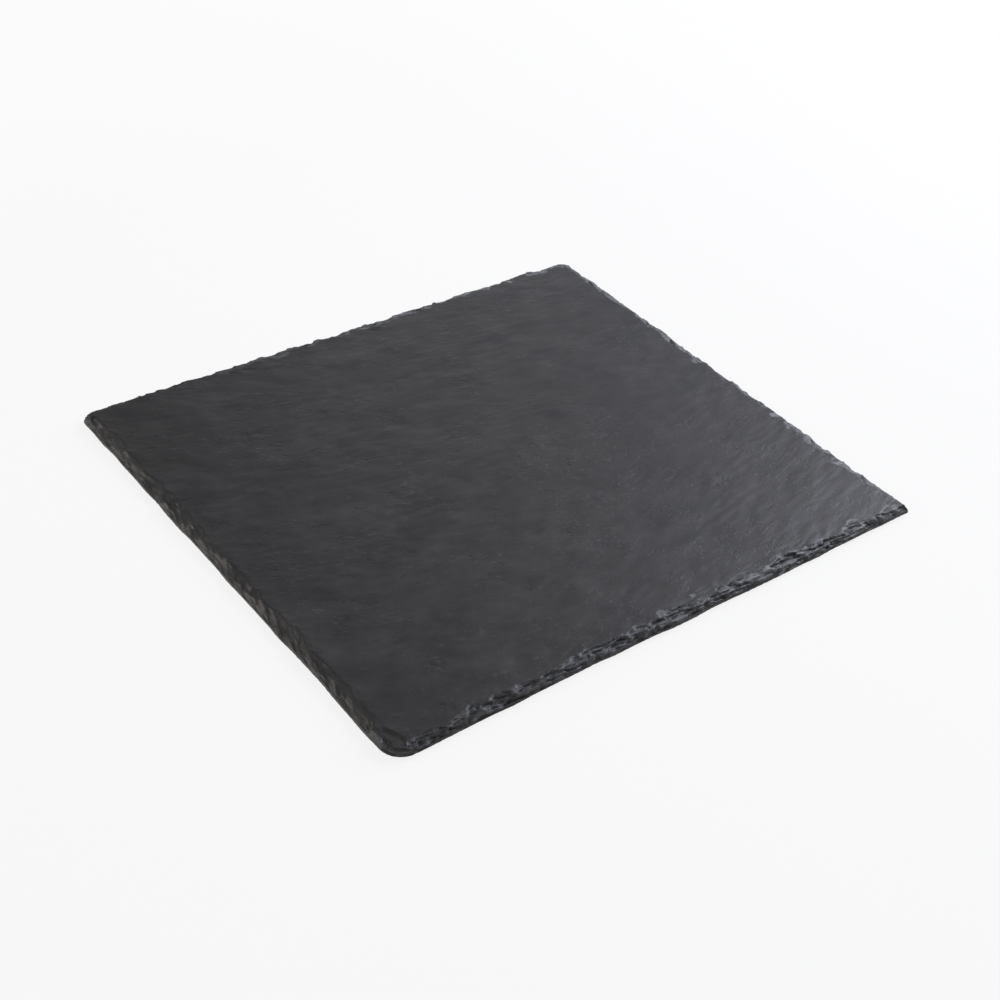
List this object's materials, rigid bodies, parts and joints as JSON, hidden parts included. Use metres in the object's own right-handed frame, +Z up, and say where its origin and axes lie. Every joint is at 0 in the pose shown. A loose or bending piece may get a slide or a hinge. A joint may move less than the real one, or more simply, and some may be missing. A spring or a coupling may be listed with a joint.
{
  "type": "slate serving board",
  "caption": "Flat rectangular slate board with chipped, hand-dressed edges and small rubber feet, for serving food.",
  "frame": {"origin": "centre of the footprint, level with the soles of the feet", "axes": "+X along the long front edge, +Y from the front edge to the back edge, +Z up out of the serving face"},
  "size_m": [0.354, 0.325, 0.0075],
  "materials": {
    "slate": "satin",
    "rubber": "matte",
    "adhesive": "matte"
  },
  "bodies": {
    "root": {"slate_slab": "slate", "foot_front_left": "rubber", "foot_front_right": "rubber", "foot_back_left": "rubber", "foot_back_right": "rubber", "adhesive_front_left": "adhesive", "adhesive_front_right": "adhesive", "adhesive_back_left": "adhesive", "adhesive_back_right": "adhesive"}
  },
  "joints": []
}
